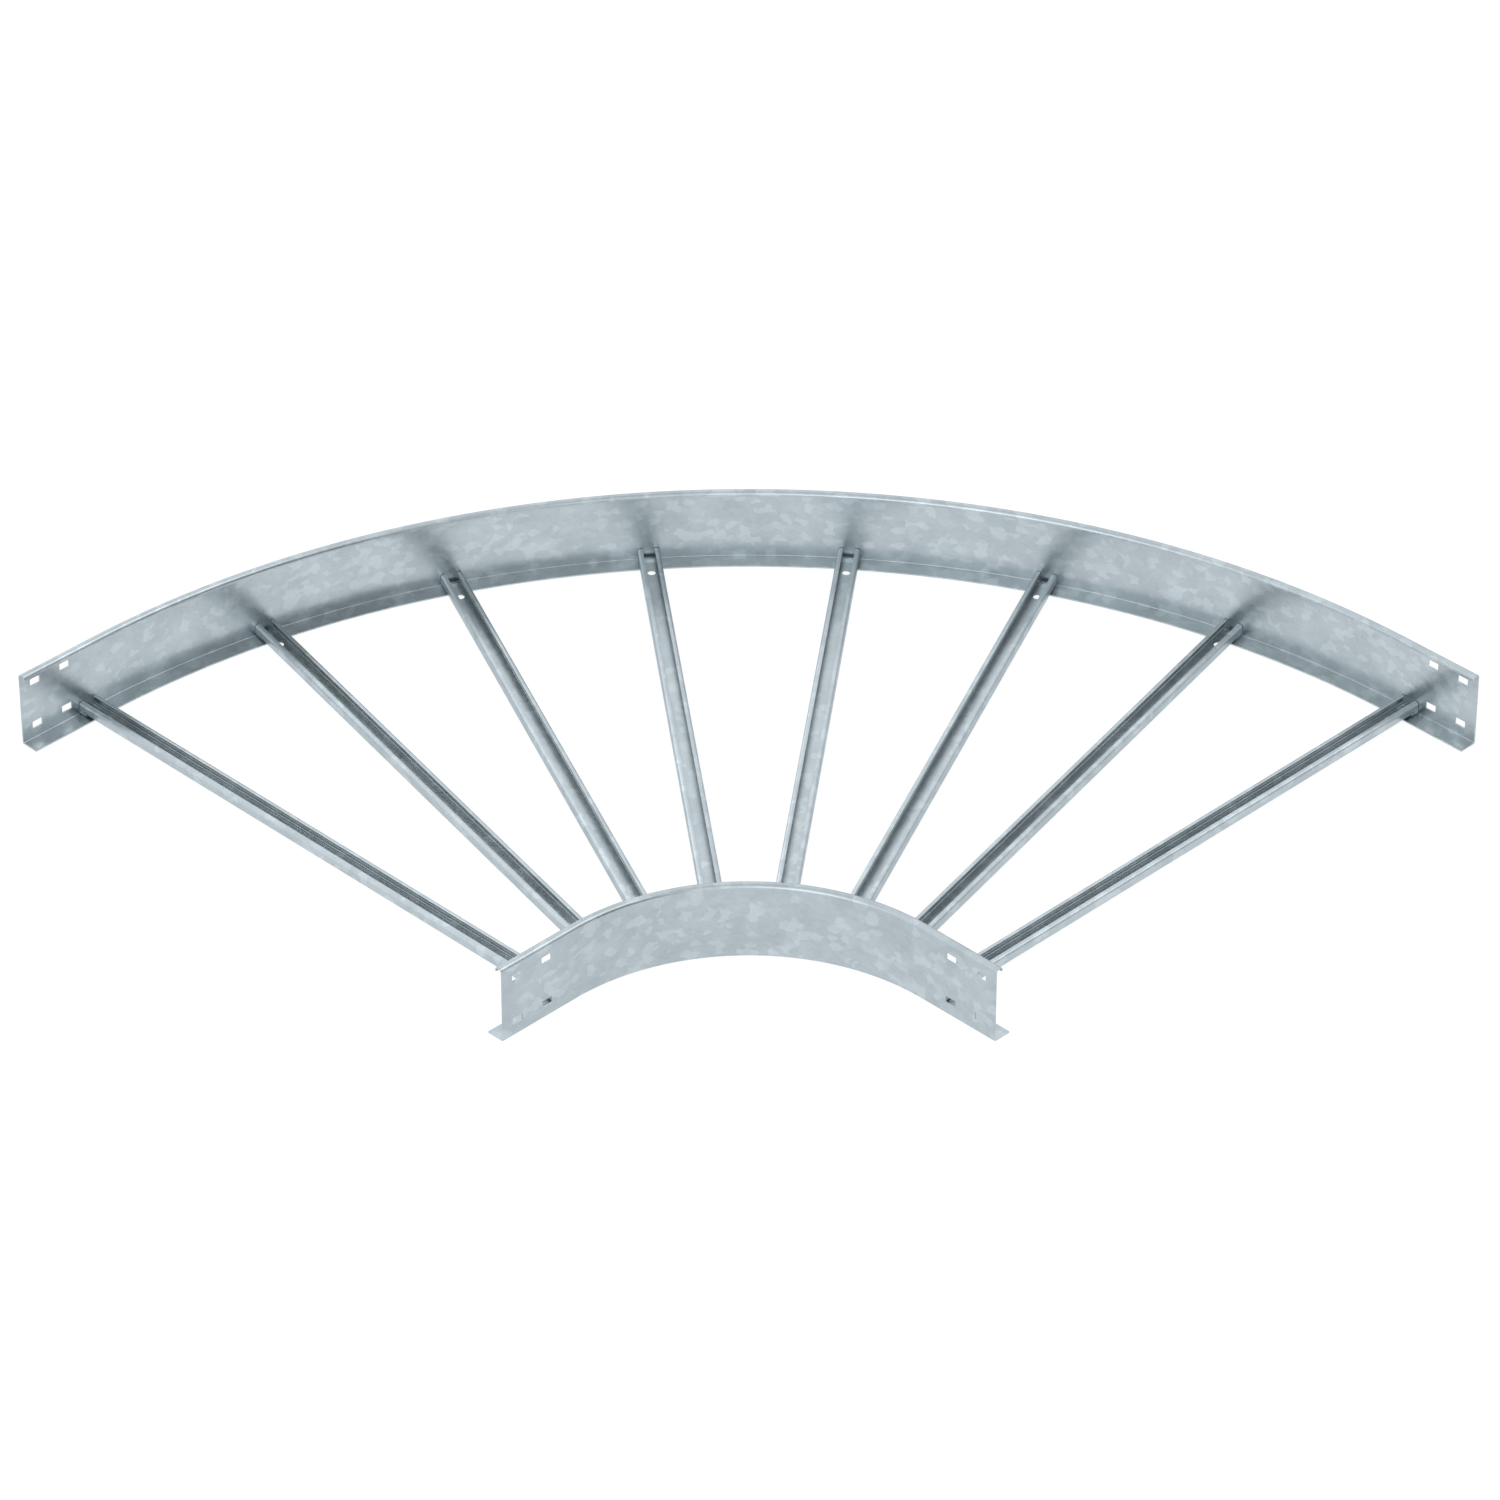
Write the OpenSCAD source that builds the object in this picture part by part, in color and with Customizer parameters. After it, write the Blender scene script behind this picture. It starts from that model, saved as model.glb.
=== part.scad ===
// Cable ladder bend: a flat 90 degree corner for a cable ladder run.
// Two folded side rails follow the bend, and eight C-section rungs, open at
// the top, are welded between their webs.
// Sizes are in millimetres, +Z is up and the bottom flanges lie on Z = 0.
// The origin is under the middle of the outline. End A faces -Y, end B -X.

/* [Bend] */
// Clear width between the webs of the two rails
clear_width = 900; // [300:50:1000]
// Radius of the inner rail, on the web face turned to the bend's centre
inner_radius = 300; // [250:25:600]
// Straight run of both rails past the bend, at each end
straight_run = 125; // [110:5:250]

/* [Side rails] */
// Height of both rails
rail_height = 109; // [95:1:150]
// Sheet thickness of the rails
rail_sheet = 2; // [1.5:0.25:2.5]
// Inside radius of the fold between the web and the bottom flange
bottom_fold = 1; // [0.5:0.25:3]
// Inside radius of the two folds along the top
top_fold = 3; // [1:0.25:3]
// Width of the bottom flange, over the web
bottom_flange = 27; // [15:1:40]
// Width of the top flange, over the web
top_flange = 12; // [11.5:0.5:20]
// Height of the lip turned down along the top flange
top_lip = 6.5; // [6:0.5:12]

/* [Joint holes] */
// Length of each rectangular joint hole, along the rail
joint_hole_length = 16; // [8:0.5:20]
// Height of each joint hole
joint_hole_height = 10; // [8:0.5:14]
// Corner radius of the joint holes
joint_hole_corner = 1; // [0.5:0.25:2]
// Distance from the rail's end to the centre of the first joint hole
joint_end_distance = 25; // [15:1:35]
// Spacing of the joint holes along the rail
joint_spacing = 50; // [25:1:60]
// Spacing of the two rows of joint holes, level with the web's middle
joint_row_spacing = 66; // [30:1:66]

/* [Rungs] */
// Gap between the rails' bottom flanges and the rungs' undersides, at least the bottom fold's radius
rung_clearance = 2; // [1:0.25:6]
// Width of each rung
rung_width = 30; // [27:1:45]
// Height of each rung
rung_height = 15; // [12:0.5:25]
// Sheet thickness of the rungs
rung_sheet = 1.5; // [1:0.25:2]
// Inside radius of the rungs' folds
rung_fold = 2.5; // [1:0.25:2.5]
// Width of the open slot along the top of each rung
rung_slot = 16; // [12:0.5:16]
// Diameter of the fixing hole in the floor near each end of a rung
fixing_hole = 11; // [6:0.5:11]
// Distance from the bottom flange's edge to the centre of the fixing hole
fixing_hole_distance = 15; // [8:0.5:40]
// Length of the notch that keeps the floor clear of the web at each end of a rung
end_notch = 7.5; // [2:0.5:12]
// Gap between a web and the rung above the bottom folds, which alone are welded to the web
end_gap = 0.75; // [0.25:0.25:1.5]

/* [Hidden] */
// Sub-parts, one solid each
// Sub-part to draw, or all of them
// Facets of each circle in the drawn preview
$fn = 96;
// Angle that the rails turn through
bend_angle = 90;
// Outside radius of the fold between the web and the bottom flange
bottom_bend = bottom_fold + rail_sheet;
// Outside radius of the folds along the top
top_bend = top_fold + rail_sheet;
// Outside radius of the rungs' folds
rung_bend = rung_fold + rung_sheet;
// Radius of the inner rail's web face on the ladder's side
inner_face = inner_radius + rail_sheet;
// Radius of the outer rail's web face on the ladder's side
outer_face = inner_face + clear_width;
// Radius of the outer rail's back
outer_radius = outer_face + rail_sheet;
// Distance from the bend's centre to the middle of the outline, in X and in Y
outline_middle = (outer_radius - straight_run) / 2;
// Height of the rungs' undersides, clear of the rails' bottom folds
rung_base = rail_sheet + max(rung_clearance, bottom_fold);
// Angle from one rung to the next, the end rungs standing at both ends of the bend
rung_pitch = bend_angle / 7;
// Distance from a web to the fixing hole's centre
fixing_hole_inset = bottom_flange - rail_sheet + fixing_hole_distance;
// How far a cutter runs past the face that it cuts
overrun = 1;
// Colour of the galvanised sheet in the preview
zinc = [0.70, 0.74, 0.77];

// Quarter of a ring, the section of a folded corner, turned to its quadrant
module folded_corner(outside, inside, turn) {
    rotate(turn)
        intersection() {
            difference() {
                circle(r = outside);
                circle(r = inside);
            }
            square(outside);
        }
}

// Section of a rail: web at X = 0, both flanges turned to +X, bottom at Y = 0
module rail_section() {
    translate([0, bottom_bend])
        square([rail_sheet, rail_height - bottom_bend - top_bend]);
    translate([bottom_bend, bottom_bend])
        folded_corner(bottom_bend, bottom_fold, 180);
    translate([bottom_bend, 0])
        square([bottom_flange - bottom_bend, rail_sheet]);
    translate([top_bend, rail_height - top_bend])
        folded_corner(top_bend, top_fold, 90);
    translate([top_bend, rail_height - rail_sheet])
        square([top_flange - 2 * top_bend, rail_sheet]);
    translate([top_flange - top_bend, rail_height - top_bend])
        folded_corner(top_bend, top_fold, 0);
    translate([top_flange - rail_sheet, rail_height - top_lip])
        square([rail_sheet, top_lip - top_bend]);
}

// The inner rail's section at its radius, flanges turned away from the centre
module inner_section() {
    translate([inner_radius, 0])
        rail_section();
}

// The outer rail's section at its radius, flanges turned to the centre
module outer_section() {
    translate([outer_radius, 0])
        mirror([1, 0])
            rail_section();
}

// What is drawn for end A, and the same again for end B
module both_ends() {
    children();
    mirror([1, -1, 0])
        children();
}

// A section carried round the bend and along the straight run at each end
module along_bend() {
    rotate_extrude(angle = bend_angle)
        children();
    both_ends()
        rotate([90, 0, 0])
            linear_extrude(height = straight_run)
                children();
}

// Outline of a joint hole, centred, its length along X
module joint_hole_outline() {
    flat_length = joint_hole_length - 2 * joint_hole_corner;
    flat_height = joint_hole_height - 2 * joint_hole_corner;
    square([joint_hole_length, flat_height], center = true);
    square([flat_length, joint_hole_height], center = true);
    for (side = [-1, 1])
        for (level = [-1, 1])
            translate([side * flat_length / 2, level * flat_height / 2])
                circle(r = joint_hole_corner);
}

// Cutters for the four joint holes at each end of the rail whose web starts at this radius
module joint_holes(web_radius) {
    both_ends()
        for (step = [0, 1])
            for (level = [-1, 1])
                translate([
                    web_radius - overrun,
                    joint_end_distance + step * joint_spacing - straight_run,
                    (rail_height + level * joint_row_spacing) / 2
                ])
                    rotate([90, 0, 90])
                        linear_extrude(height = rail_sheet + 2 * overrun)
                            joint_hole_outline();
}

// Moves what is drawn about the bend's centre to the part's own origin
module placed() {
    translate([-outline_middle, -outline_middle, 0])
        children();
}

module outer_rail() {
    color(zinc)
        placed()
            difference() {
                along_bend()
                    outer_section();
                joint_holes(outer_face);
            }
}

module inner_rail() {
    color(zinc)
        placed()
            difference() {
                along_bend()
                    inner_section();
                joint_holes(inner_radius);
            }
}

// Section of a rung: a C open at the top, centred on X = 0, its underside at Y = 0
module rung_section() {
    half = rung_width / 2;
    translate([rung_bend - half, 0])
        square([rung_width - 2 * rung_bend, rung_sheet]);
    for (side = [0, 1])
        mirror([side, 0]) {
            translate([half - rung_bend, rung_bend])
                folded_corner(rung_bend, rung_fold, 270);
            translate([half - rung_sheet, rung_bend])
                square([rung_sheet, rung_height - 2 * rung_bend]);
            translate([half - rung_bend, rung_height - rung_bend])
                folded_corner(rung_bend, rung_fold, 0);
            translate([rung_slot / 2, rung_height - rung_sheet])
                square([half - rung_bend - rung_slot / 2, rung_sheet]);
        }
}

// Cutters that take this much off both ends of a rung along X, over a width and a height
module end_cutters(reach, width, base, height) {
    length = reach + rail_sheet + rung_width + overrun;
    for (start = [inner_face + reach - length, outer_face - reach])
        translate([start, -width / 2, base])
            cube([length, width, height]);
}

// A rung along X from one radius to another, with its fixing holes and its notched, stepped ends
module rung_length(from, to) {
    floor_width = rung_width - 2 * rung_bend;
    floor_cut = rung_sheet + 2 * overrun;
    difference() {
        translate([from, 0, rung_base])
            rotate([90, 0, 90])
                linear_extrude(height = to - from)
                    rung_section();
        for (reach = [inner_face + fixing_hole_inset, outer_face - fixing_hole_inset])
            translate([reach, 0, rung_base - overrun])
                cylinder(d = fixing_hole, h = floor_cut);
        end_cutters(end_notch, floor_width, rung_base - overrun, floor_cut);
        end_cutters(end_gap, rung_width + 2 * overrun, rung_base + rung_bend, rung_height);
    }
}

// A rung square across a straight run, its edge level with the end of the bend
module end_rung() {
    translate([0, -rung_width / 2, 0])
        rung_length(inner_face, outer_face);
}

// A rung towards the bend's centre, its ends shaped to the curved webs
module bend_rung(number) {
    trim_height = rung_base + rung_height + overrun;
    rotate((number - 1) * rung_pitch)
        difference() {
            intersection() {
                rung_length(inner_radius - rung_width, outer_radius);
                cylinder(r = outer_face, h = trim_height);
            }
            translate([0, 0, -overrun])
                cylinder(r = inner_face, h = trim_height + 2 * overrun);
        }
}

module rung_1() {
    color(zinc)
        placed()
            end_rung();
}

module rung_2() {
    color(zinc)
        placed()
            bend_rung(2);
}

module rung_3() {
    color(zinc)
        placed()
            bend_rung(3);
}

module rung_4() {
    color(zinc)
        placed()
            bend_rung(4);
}

module rung_5() {
    color(zinc)
        placed()
            bend_rung(5);
}

module rung_6() {
    color(zinc)
        placed()
            bend_rung(6);
}

module rung_7() {
    color(zinc)
        placed()
            bend_rung(7);
}

module rung_8() {
    color(zinc)
        placed()
            mirror([1, -1, 0])
                end_rung();
}

outer_rail();
inner_rail();
rung_1();
rung_2();
rung_3();
rung_4();
rung_5();
rung_6();
rung_7();
rung_8();
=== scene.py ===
"""Dresses the cable ladder bend: two folded side rails and eight C-section rungs.

Every piece is one galvanised sheet. Its two faces are worked out on one grid of
stations along the piece and samples across the folded section, and the sheet's rim,
its holes and its notches are closed with walls between the two faces.
"""
import logging
import math
from collections.abc import Sequence
from dataclasses import dataclass, field
from enum import Enum

import bmesh
import bpy
import numpy as np
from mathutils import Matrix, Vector


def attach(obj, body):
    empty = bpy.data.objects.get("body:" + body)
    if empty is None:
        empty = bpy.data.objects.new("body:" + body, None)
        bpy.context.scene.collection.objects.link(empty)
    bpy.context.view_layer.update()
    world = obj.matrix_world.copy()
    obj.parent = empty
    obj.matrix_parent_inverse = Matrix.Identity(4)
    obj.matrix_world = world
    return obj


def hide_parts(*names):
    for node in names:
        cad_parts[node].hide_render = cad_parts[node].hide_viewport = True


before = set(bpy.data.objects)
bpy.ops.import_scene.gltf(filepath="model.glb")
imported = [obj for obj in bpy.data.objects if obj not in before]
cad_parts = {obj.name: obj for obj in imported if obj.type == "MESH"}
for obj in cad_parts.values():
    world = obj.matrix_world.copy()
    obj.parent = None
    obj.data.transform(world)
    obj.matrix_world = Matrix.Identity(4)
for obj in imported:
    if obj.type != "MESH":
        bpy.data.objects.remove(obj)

Array = np.ndarray
Numbers = np.ndarray | float
Socket = bpy.types.NodeSocket
Span = tuple[float, float]
Colour = tuple[float, float, float, float]

LOG = logging.getLogger("cable_ladder_bend")
BODY = "root"
# Name of the attribute that holds each face's painted light or shade, which lightens or darkens its zinc
PAINTED_LIGHT_AND_SHADE = "shade"
# Number of rungs between the rails
RUNGS = 8
# Distance in metres within which two points are one
WELD_STEP = 1.0e-6
# Decimals of a metre to which grid lines are rounded, so that equal ones become one
GRID_DECIMALS = 7
# Millimetres in a metre
MILLIMETRES = 1000.0
WHITE: Colour = (1.0, 1.0, 1.0, 1.0)
MIDDLE_GREY = (0.5, 0.5, 0.5)
WHOLE: Span = (0.0, 1.0)
# Angle in degrees from +X at which the camera looks, halfway between +X and +Y
LOOKING = 45.0
# What a level direction halfway between two axes measures along each of them
DIAGONAL = math.sqrt(0.5)


class RailSide(Enum):
    """The two side rails, with the way that their flanges point from the web."""

    OUTER = -1.0
    INNER = 1.0


class RunEnd(Enum):
    """The two ends of the bend, with the turn in radians at which each one leaves."""

    A = 0.0
    B = math.pi / 2


def left_of(direction: Array) -> Array:
    """Turns plane directions a quarter turn to the left."""
    return np.stack([-direction[..., 1], direction[..., 0]], axis=-1)


def run_of(hits: Array) -> slice:
    """Gives the slice from the first to the last hit in a row of true and false."""
    found = np.flatnonzero(hits)
    return slice(int(found[0]), int(found[-1]) + 1)


def rim_of(window: Array) -> Array:
    """Walks round a grid of points once, as a closed loop of the points on its rim."""
    return np.concatenate([window[0, :-1], window[:-1, -1], window[-1, :0:-1], window[:0:-1, 0]])


@dataclass(frozen=True)
class BendPath:
    """The plan of the ladder: a straight run, a quarter turn and a straight run.

    Attributes:
        inner_radius: Radius of the inner rail's back.
        clear_width: Distance between the two webs.
        rail_sheet: Sheet thickness of the rails.
        straight_run: Length of the straight run at each end.
        arc_steps: Steps in which the bend turns.
    """

    inner_radius: float = 0.300
    clear_width: float = 0.900
    rail_sheet: float = 0.002
    straight_run: float = 0.125
    arc_steps: int = 64

    @property
    def inner_face(self) -> float:
        """Gives the radius of the inner web's face on the ladder's side."""
        return self.inner_radius + self.rail_sheet

    @property
    def outer_face(self) -> float:
        """Gives the radius of the outer web's face on the ladder's side."""
        return self.inner_face + self.clear_width

    @property
    def outer_radius(self) -> float:
        """Gives the radius of the outer rail's back."""
        return self.outer_face + self.rail_sheet

    @property
    def centre(self) -> float:
        """Gives the place of the bend's centre in X and in Y, from the middle of the outline."""
        return (self.straight_run - self.outer_radius) / 2

    def place(self, turn: Numbers, past: Numbers, radius: Numbers, height: Numbers) -> Array:
        """Places points given along and across the bend.

        A point is centre + radius * outward(turn) + past * forward(turn), where outward is
        (cos, sin) of the turn and forward is outward turned left.

        Args:
            turn: Angle round the bend's centre, from end A to end B.
            past: Distance along the straight run, below zero before the bend.
            radius: Distance from the bend's centre.
            height: Distance above the floor.

        Returns:
            Positions, with the broadcast shape of the arguments and a last axis of 3.
        """
        turn, past, radius, height = np.broadcast_arrays(turn, past, radius, height)
        x = self.centre + radius * np.cos(turn) - past * np.sin(turn)
        y = self.centre + radius * np.sin(turn) + past * np.cos(turn)
        return np.stack([x, y, height], axis=-1)

    def stations(self, stops: Sequence[float]) -> tuple[Array, Array]:
        """Lists the stations of a piece that runs the whole bend.

        Args:
            stops: Distances from a rail's end at which the straight runs need a station.

        Returns:
            The turn and the straight distance of each station, from end A to end B.
        """
        run = np.unique(np.concatenate([[0.0], stops]))
        arc = np.linspace(RunEnd.A.value, RunEnd.B.value, self.arc_steps + 1)
        turn = np.concatenate([np.full(len(run), RunEnd.A.value), arc, np.full(len(run), RunEnd.B.value)])
        before = run - self.straight_run
        past = np.concatenate([before, np.zeros(len(arc)), -before[::-1]])
        return turn, past


@dataclass(frozen=True)
class SheetSection:
    """Middle line of a folded sheet, sampled from one sheet edge to the other.

    Attributes:
        points: Samples of the middle line, shape (m, 2).
        normals: Unit normals to the left of the line's run, shape (m, 2).
        sheet: Sheet thickness.
    """

    points: Array
    normals: Array
    sheet: float

    @classmethod
    def folded(
        cls,
        corners: Array,
        folds: Sequence[float],
        sheet: float,
        stops: dict[int, Array],
        bends: int = 8,
        beside: float = 0.35,
    ) -> "SheetSection":
        """Folds a strip along a line of corners.

        A leg is corner + t * direction between its tangent points, sampled at the stops and
        close to each fold, so that smooth shading stays on the fold. A fold is the arc
        centre - side * radius * normal(a) while the direction turns through the corner.

        Args:
            corners: Corners of the middle line, shape (k, 2).
            folds: Inside radius of the fold at each corner between two legs.
            sheet: Sheet thickness.
            stops: Extra samples of a leg, as distances from its first corner.
            bends: Steps in which a fold turns.
            beside: Distance from a fold to the sample close to it, in sheet thicknesses.

        Returns:
            The sampled section.
        """
        radii = np.asarray(folds) + sheet / 2
        runs = np.diff(corners, axis=0)
        lengths = np.linalg.norm(runs, axis=1)
        ways = runs / lengths[:, None]
        cross = ways[:-1, 0] * ways[1:, 1] - ways[:-1, 1] * ways[1:, 0]
        turns = np.arctan2(cross, (ways[:-1] * ways[1:]).sum(axis=1))
        trims = np.concatenate([[0.0], radii * np.tan(np.abs(turns) / 2), [0.0]])
        hold = sheet * beside
        points: list[Array] = []
        normals: list[Array] = []
        for leg, way in enumerate(ways):
            start, end = trims[leg], lengths[leg] - trims[leg + 1]
            held = [start, end]
            first, last = start + hold, end - hold
            if last - first > hold:
                held += [first, last]
            samples = np.concatenate([held, stops.get(leg, np.empty(0))])
            t = np.unique(np.round(samples, GRID_DECIMALS))
            points.append(corners[leg] + t[:, None] * way)
            normals.append(np.broadcast_to(left_of(way), (len(t), 2)))
            if leg < len(turns):
                side, radius = np.sign(turns[leg]), radii[leg]
                centre = points[-1][-1] + side * radius * left_of(way)
                heading = math.atan2(way[1], way[0]) + np.linspace(0.0, turns[leg], bends + 1)[1:-1]
                normal = left_of(np.stack([np.cos(heading), np.sin(heading)], axis=-1))
                points.append(centre - side * radius * normal)
                normals.append(normal)
        return cls(np.concatenate(points), np.concatenate(normals), sheet)

    def faces(self) -> list[Array]:
        """Gives the sheet's two faces, half a thickness to the left of the line and to its right."""
        return [self.points + side * self.sheet / 2 * self.normals for side in (1.0, -1.0)]

    def columns(self, axis: int, low: float, high: float) -> slice:
        """Finds the samples between two marks on the flat leg that lies along an axis.

        Args:
            axis: Coordinate that runs along the leg, 0 or 1, the other one being half a sheet.
            low: Lower mark on that axis.
            high: Upper mark on that axis.

        Returns:
            A slice over the samples, both marks included.
        """
        along, level = self.points[:, axis], self.points[:, 1 - axis]
        on_leg = np.abs(level - self.sheet / 2) < WELD_STEP
        return run_of(on_leg & (along > low - WELD_STEP) & (along < high + WELD_STEP))


@dataclass(frozen=True)
class HoleOutline:
    """A hole with straight sides and round corners, or a round one where the core is nothing.

    Attributes:
        core: Half sizes of the rectangle that the corner radius runs round.
        corner: Corner radius, or the radius of a round hole.
    """

    core: Span
    corner: float

    def edge(self, along: Array, across: Array, centre: Span) -> Array:
        """Draws in the rim of a window round the hole until it meets the hole's edge.

        Each rim point goes to the nearest point of the core rectangle, then one corner
        radius back towards where it came from.

        Args:
            along: Grid lines of the window along the piece.
            across: Grid lines of the window across the piece.
            centre: Place of the hole's centre, along and across.

        Returns:
            The points on the hole's edge, in the order of rim_of.
        """
        middle = np.array(centre)
        rim = rim_of(np.stack(np.meshgrid(along, across, indexing="ij"), axis=-1)) - middle
        inner = np.clip(rim, -np.array(self.core), np.array(self.core))
        out = rim - inner
        return middle + inner + self.corner * out / np.linalg.norm(out, axis=1, keepdims=True)

    def marks(self, axis: int, margin: float, steps: int) -> Array:
        """Lists the grid lines that a window round this hole needs, from the hole's centre.

        Args:
            axis: 0 along the piece, 1 across it.
            margin: Distance from the hole's edge to the window's rim.
            steps: Grid steps between the core's edge and the rim.

        Returns:
            Distances from the centre, from the lower rim to the upper one.
        """
        core = self.core[axis]
        ramp = np.linspace(core, core + self.corner + margin, steps + 1)
        return np.unique(np.round(np.concatenate([-ramp, ramp]), GRID_DECIMALS))


@dataclass
class SheetSkin:
    """Both faces of a sheet on one grid, with the walls that close it.

    Attributes:
        front: Points of one face, shape (stations, samples, 3).
        back: Points of the other face, with the same shape.
        grids: Extra patches, each a grid of points with a last axis of 3.
    """

    front: Array
    back: Array
    grids: list[Array] = field(default_factory=list)

    def __post_init__(self) -> None:
        """Starts with every cell of the grid drawn and solid."""
        cells = (self.front.shape[0] - 1, self.front.shape[1] - 1)
        self.drawn: Array = np.ones(cells, dtype=bool)
        self.solid: Array = np.ones(cells, dtype=bool)

    @staticmethod
    def cells(rows: slice, columns: slice) -> tuple[slice, slice]:
        """Gives the cells that lie between the first and the last of these grid lines."""
        return slice(rows.start, rows.stop - 1), slice(columns.start, columns.stop - 1)

    def notch(self, rows: slice, columns: slice) -> None:
        """Takes the cells between these grid lines out of the sheet, with walls round the gap."""
        inside = self.cells(rows, columns)
        self.drawn[inside] = False
        self.solid[inside] = False

    def pierce(self, rows: slice, columns: slice, front_loop: Array, back_loop: Array) -> None:
        """Cuts a hole inside a window: a ring on each face and a wall through the sheet.

        Args:
            rows: Grid lines of the window along the piece.
            columns: Grid lines of the window across the section.
            front_loop: The hole's edge on the front face, in the order of rim_of.
            back_loop: The hole's edge on the back face, in the same order.
        """
        self.drawn[self.cells(rows, columns)] = False
        front_rim, back_rim = rim_of(self.front[rows, columns]), rim_of(self.back[rows, columns])
        ring = np.stack([front_rim, front_loop, back_loop, back_rim])
        self.grids.append(np.concatenate([ring, ring[:, :1]], axis=1))

    @staticmethod
    def grid_quads(rows: int, columns: int) -> Array:
        """Numbers the corners of every cell of a grid, shape (cells, 4)."""
        number = np.arange(rows * columns).reshape(rows, columns)
        corners = [number[:-1, :-1], number[:-1, 1:], number[1:, 1:], number[1:, :-1]]
        return np.stack(corners, axis=-1).reshape(-1, 4)

    def quads(self) -> Array:
        """Lists the faces of both sides and of the walls.

        A wall stands on every grid line that has a solid cell on one side of it only, the
        outside of the grid counting as open.

        Returns:
            Point numbers, front points first, shape (faces, 4).
        """
        rows, columns = self.front.shape[:2]
        number = np.arange(rows * columns).reshape(rows, columns)
        shift = rows * columns
        skin = self.grid_quads(rows, columns)[self.drawn.ravel()]
        padded = np.pad(self.solid, 1)
        i, j = np.nonzero(padded[1:-1, :-1] != padded[1:-1, 1:])
        along = np.stack([number[i, j], number[i + 1, j]], axis=-1)
        i, j = np.nonzero(padded[:-1, 1:-1] != padded[1:, 1:-1])
        across = np.stack([number[i, j], number[i, j + 1]], axis=-1)
        edges = np.concatenate([along, across])
        walls = np.concatenate([edges, edges[:, ::-1] + shift], axis=1)
        return np.concatenate([skin, skin[:, ::-1] + shift, walls])

    def shades(self, rim: float, back: Array, ring: float) -> Array:
        """Gives every face its painted light or shade, in the order of the mesh's faces.

        Args:
            rim: Painted shade of the cut edges.
            back: Painted light or shade of the back side's cells, the front side's being nothing.
            ring: Painted light or shade of the back side round the holes.

        Returns:
            One number for each face.
        """
        skin = int(self.drawn.sum())
        walls = len(self.quads()) - 2 * skin
        parts = [np.zeros(skin), back[self.drawn], np.full(walls, rim)]
        parts += [np.repeat([0.0, rim, ring], grid.shape[1] - 1) for grid in self.grids]
        return np.concatenate(parts)

    def mesh(self, name: str) -> bpy.types.Mesh:
        """Joins all patches into one closed mesh.

        Points that share a place on a grid of a thousandth of a millimetre become one.

        Args:
            name: Name of the mesh.

        Returns:
            The mesh, smooth, with its faces pointing outwards.
        """
        points = [self.front.reshape(-1, 3), self.back.reshape(-1, 3)]
        faces = [self.quads()]
        count = 2 * points[0].shape[0]
        for grid in self.grids:
            points.append(grid.reshape(-1, 3))
            faces.append(self.grid_quads(*grid.shape[:2]) + count)
            count += points[-1].shape[0]
        every = np.concatenate(points)
        quads = np.concatenate(faces)
        keys = np.round(every / WELD_STEP).astype(np.int64)
        _, first, place = np.unique(keys, axis=0, return_index=True, return_inverse=True)
        quads = place.reshape(-1)[quads]
        used, quads = np.unique(quads, return_inverse=True)
        mesh = bpy.data.meshes.new(name)
        mesh.from_pydata(every[first[used]].tolist(), [], quads.reshape(-1, 4).tolist())
        shell = bmesh.new()
        shell.from_mesh(mesh)
        bmesh.ops.recalc_face_normals(shell, faces=shell.faces[:])
        shell.to_mesh(mesh)
        shell.free()
        mesh.polygons.foreach_set("use_smooth", np.ones(len(mesh.polygons), dtype=bool))
        return mesh


@dataclass(frozen=True)
class SheetEdge:
    """The worn-soft rim that dipped sheet has, as a bevel on every sharp edge."""

    width: float = 0.0003
    segments: int = 2
    sharper_than: float = math.radians(50.0)

    def soften(self, piece: bpy.types.Object) -> None:
        """Adds the bevel to a piece."""
        bevel = piece.modifiers.new("soft_rim", "BEVEL")
        bevel.width = self.width
        bevel.segments = self.segments
        bevel.limit_method = "ANGLE"
        bevel.angle_limit = self.sharper_than
        bevel.harden_normals = True


def show(mesh: bpy.types.Mesh, name: str) -> bpy.types.Object:
    """Puts a mesh into the scene as a piece of its own."""
    piece = bpy.data.objects.new(name, mesh)
    bpy.context.scene.collection.objects.link(piece)
    return piece


def fit_to_frame(piece: bpy.types.Object, node: str) -> None:
    """Hangs a finished piece on the ladder's body in place of its CAD node."""
    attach(piece, BODY)
    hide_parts(node)


@dataclass(frozen=True)
class Grain:
    """A cloudy noise.

    Attributes:
        scale: Waves per metre.
        detail: How many finer layers it has.
    """

    scale: float
    detail: float = 2.0


@dataclass(frozen=True)
class Unevenness:
    """Bumps that only the light shows.

    Attributes:
        grain: Noise that the bumps follow.
        strength: How much of the bumps shows, from 0 to 1.
        depth: Height of the bumps, in metres.
    """

    grain: Grain
    strength: float
    depth: float


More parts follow.
